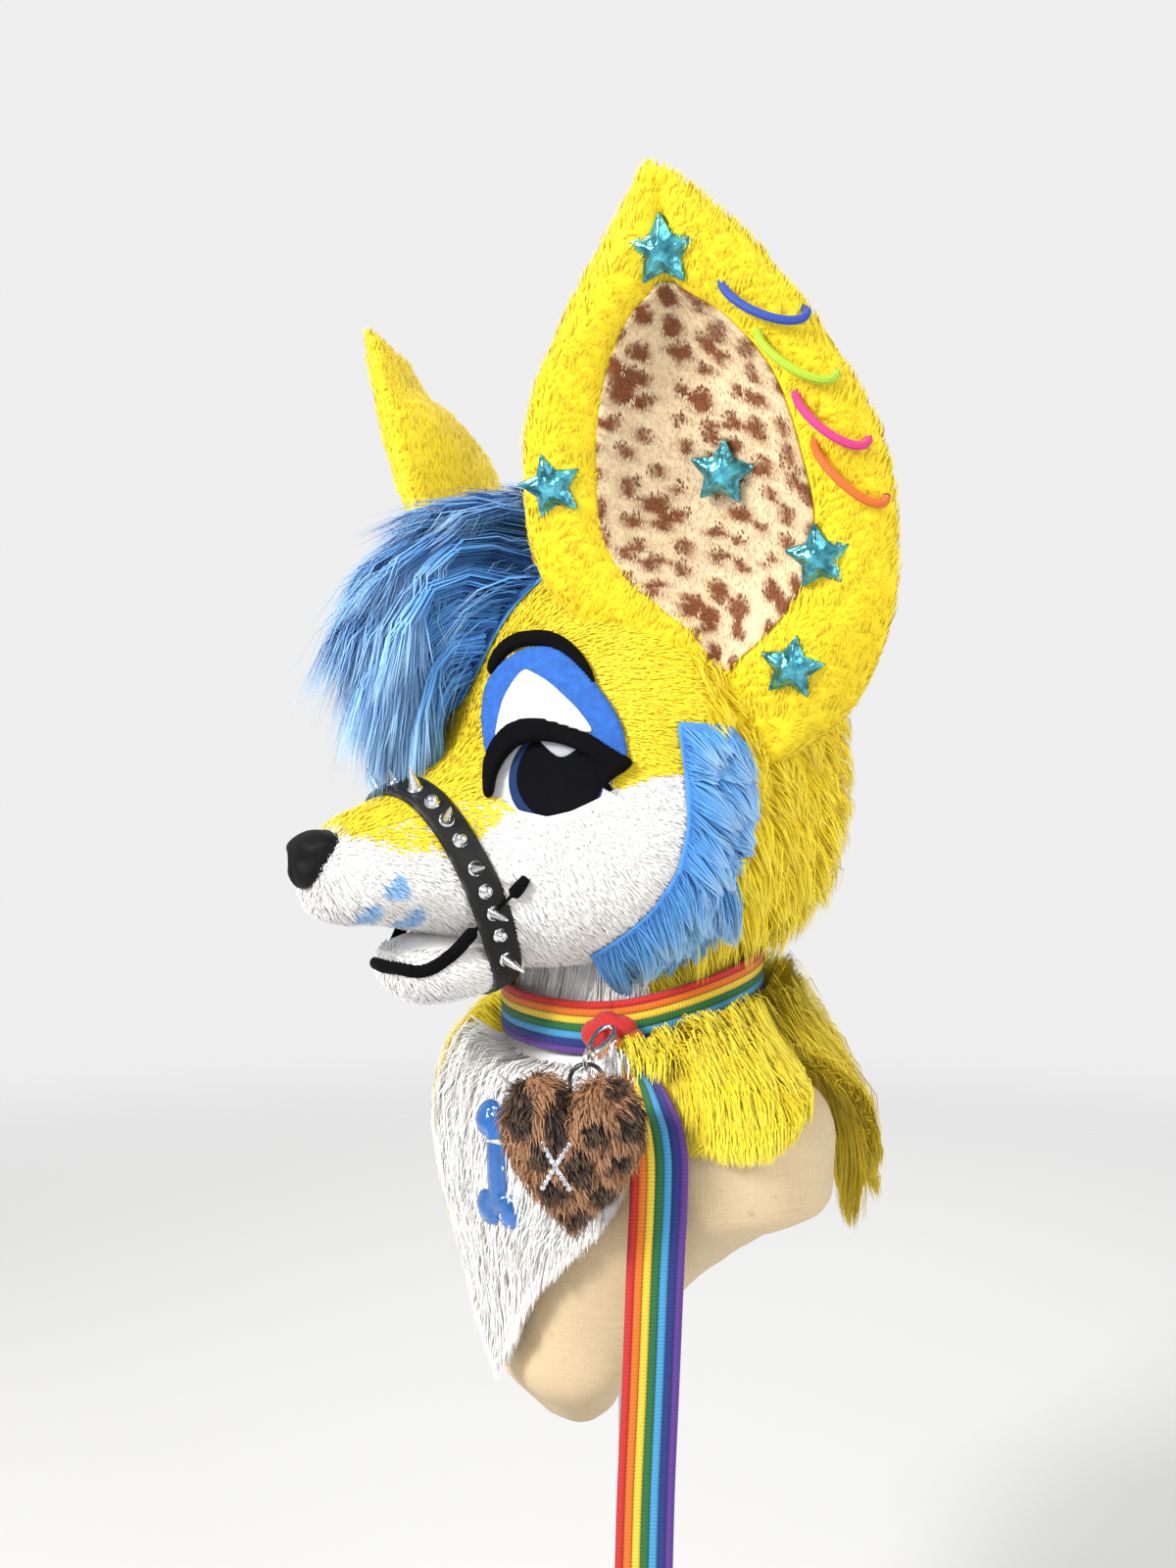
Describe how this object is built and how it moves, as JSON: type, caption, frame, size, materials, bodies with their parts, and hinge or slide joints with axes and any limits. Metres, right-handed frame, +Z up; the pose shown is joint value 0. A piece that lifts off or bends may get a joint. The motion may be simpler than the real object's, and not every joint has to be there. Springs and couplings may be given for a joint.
{
  "type": "partial fursuit on a limbless bust form",
  "caption": "Animal head with large ears, hair tuft, cheek ruffs and muzzle strap, over a neck and yoke of long fur with a striped band and heart charm, on a bust form with a stand",
  "frame": {"origin": "on the floor at the centre of the base, under the pole", "axes": "+Z up, the face looks along -Y, its left side is +X"},
  "size_m": [0.4159, 0.345, 0.9122],
  "materials": {
    "base_enamel": "satin black enamel",
    "pole_steel": "brushed",
    "form_linen": "plain linen glued over a hard core, matt with a few scuffs",
    "yellow_short_fur": "short-pile faux fur, shaved",
    "yellow_long_fur": "long-pile faux fur with paler tips",
    "white_short_fur": "short-pile faux fur, shaved",
    "white_long_fur": "long-pile faux fur",
    "black_felt": "felt and fleece trim",
    "nose_skin": "soft matt skin",
    "spotted_fur": "short cream fur with rust-brown spots",
    "star_vinyl": "padded metallic vinyl",
    "elastic_blue": "braided elastic cord",
    "elastic_lime": "braided elastic cord",
    "elastic_pink": "braided elastic cord",
    "elastic_orange": "braided elastic cord",
    "blue_long_fur": "long-pile faux fur with paler tips",
    "eye_mesh": "painted mesh with a dark iris",
    "white_minky": "short minky plush",
    "blue_minky": "short minky plush",
    "strap_leather": "black leather with silver studs and spikes",
    "applique_vinyl": "glossy padded vinyl",
    "striped_webbing": "woven webbing in seven colour stripes",
    "charm_metal": "bright plated wire",
    "leopard_fur": "short fur in brown with black spots"
  },
  "bodies": {
    "costume": {"stand_base": "base_enamel", "stand_pole": "pole_steel", "form_bust": "form_linen", "face_panel": "yellow_short_fur", "cheek_left": "white_short_fur", "cheek_right": "white_short_fur", "head_back": "yellow_long_fur", "jaw": "white_short_fur", "lip_line": "black_felt", "nose": "nose_skin", "ear_left": "yellow_short_fur", "ear_right": "yellow_short_fur", "ear_panel_left": "spotted_fur", "ear_panel_right": "spotted_fur", "star_tip": "star_vinyl", "star_front": "star_vinyl", "star_panel": "star_vinyl", "star_back": "star_vinyl", "star_low": "star_vinyl", "elastic_blue": "elastic_blue", "elastic_lime": "elastic_lime", "elastic_pink": "elastic_pink", "elastic_orange": "elastic_orange", "hair_tuft": "blue_long_fur", "ruff_left": "blue_long_fur", "ruff_right": "blue_long_fur", "eye_left": "eye_mesh", "eye_right": "eye_mesh", "lash_left": "black_felt", "lash_right": "black_felt", "lid_left": "blue_minky", "lid_right": "blue_minky", "lid_patch_left": "white_minky", "lid_patch_right": "white_minky", "brow_left": "black_felt", "brow_right": "black_felt", "muzzle_strap": "strap_leather", "neck_front": "white_long_fur", "neck_back": "yellow_long_fur", "bib": "white_long_fur", "shoulder_left": "yellow_long_fur", "yoke_back": "yellow_long_fur", "shoulder_right": "yellow_long_fur", "chest_applique": "applique_vinyl", "collar_band": "striped_webbing", "collar_knot": "striped_webbing", "hanging_end": "striped_webbing", "clasp": "charm_metal"},
    "charm": {"charm_chain": "charm_metal", "charm_heart": "leopard_fur"}
  },
  "joints": [
    {"name": "charm_swing", "type": "hinge", "parent": "costume", "child": "charm", "pos_m": [0.09364, -0.08431, 0.474], "axis": [-0.7431, 0.6691, 0], "range_deg": [0, 35]}
  ]
}
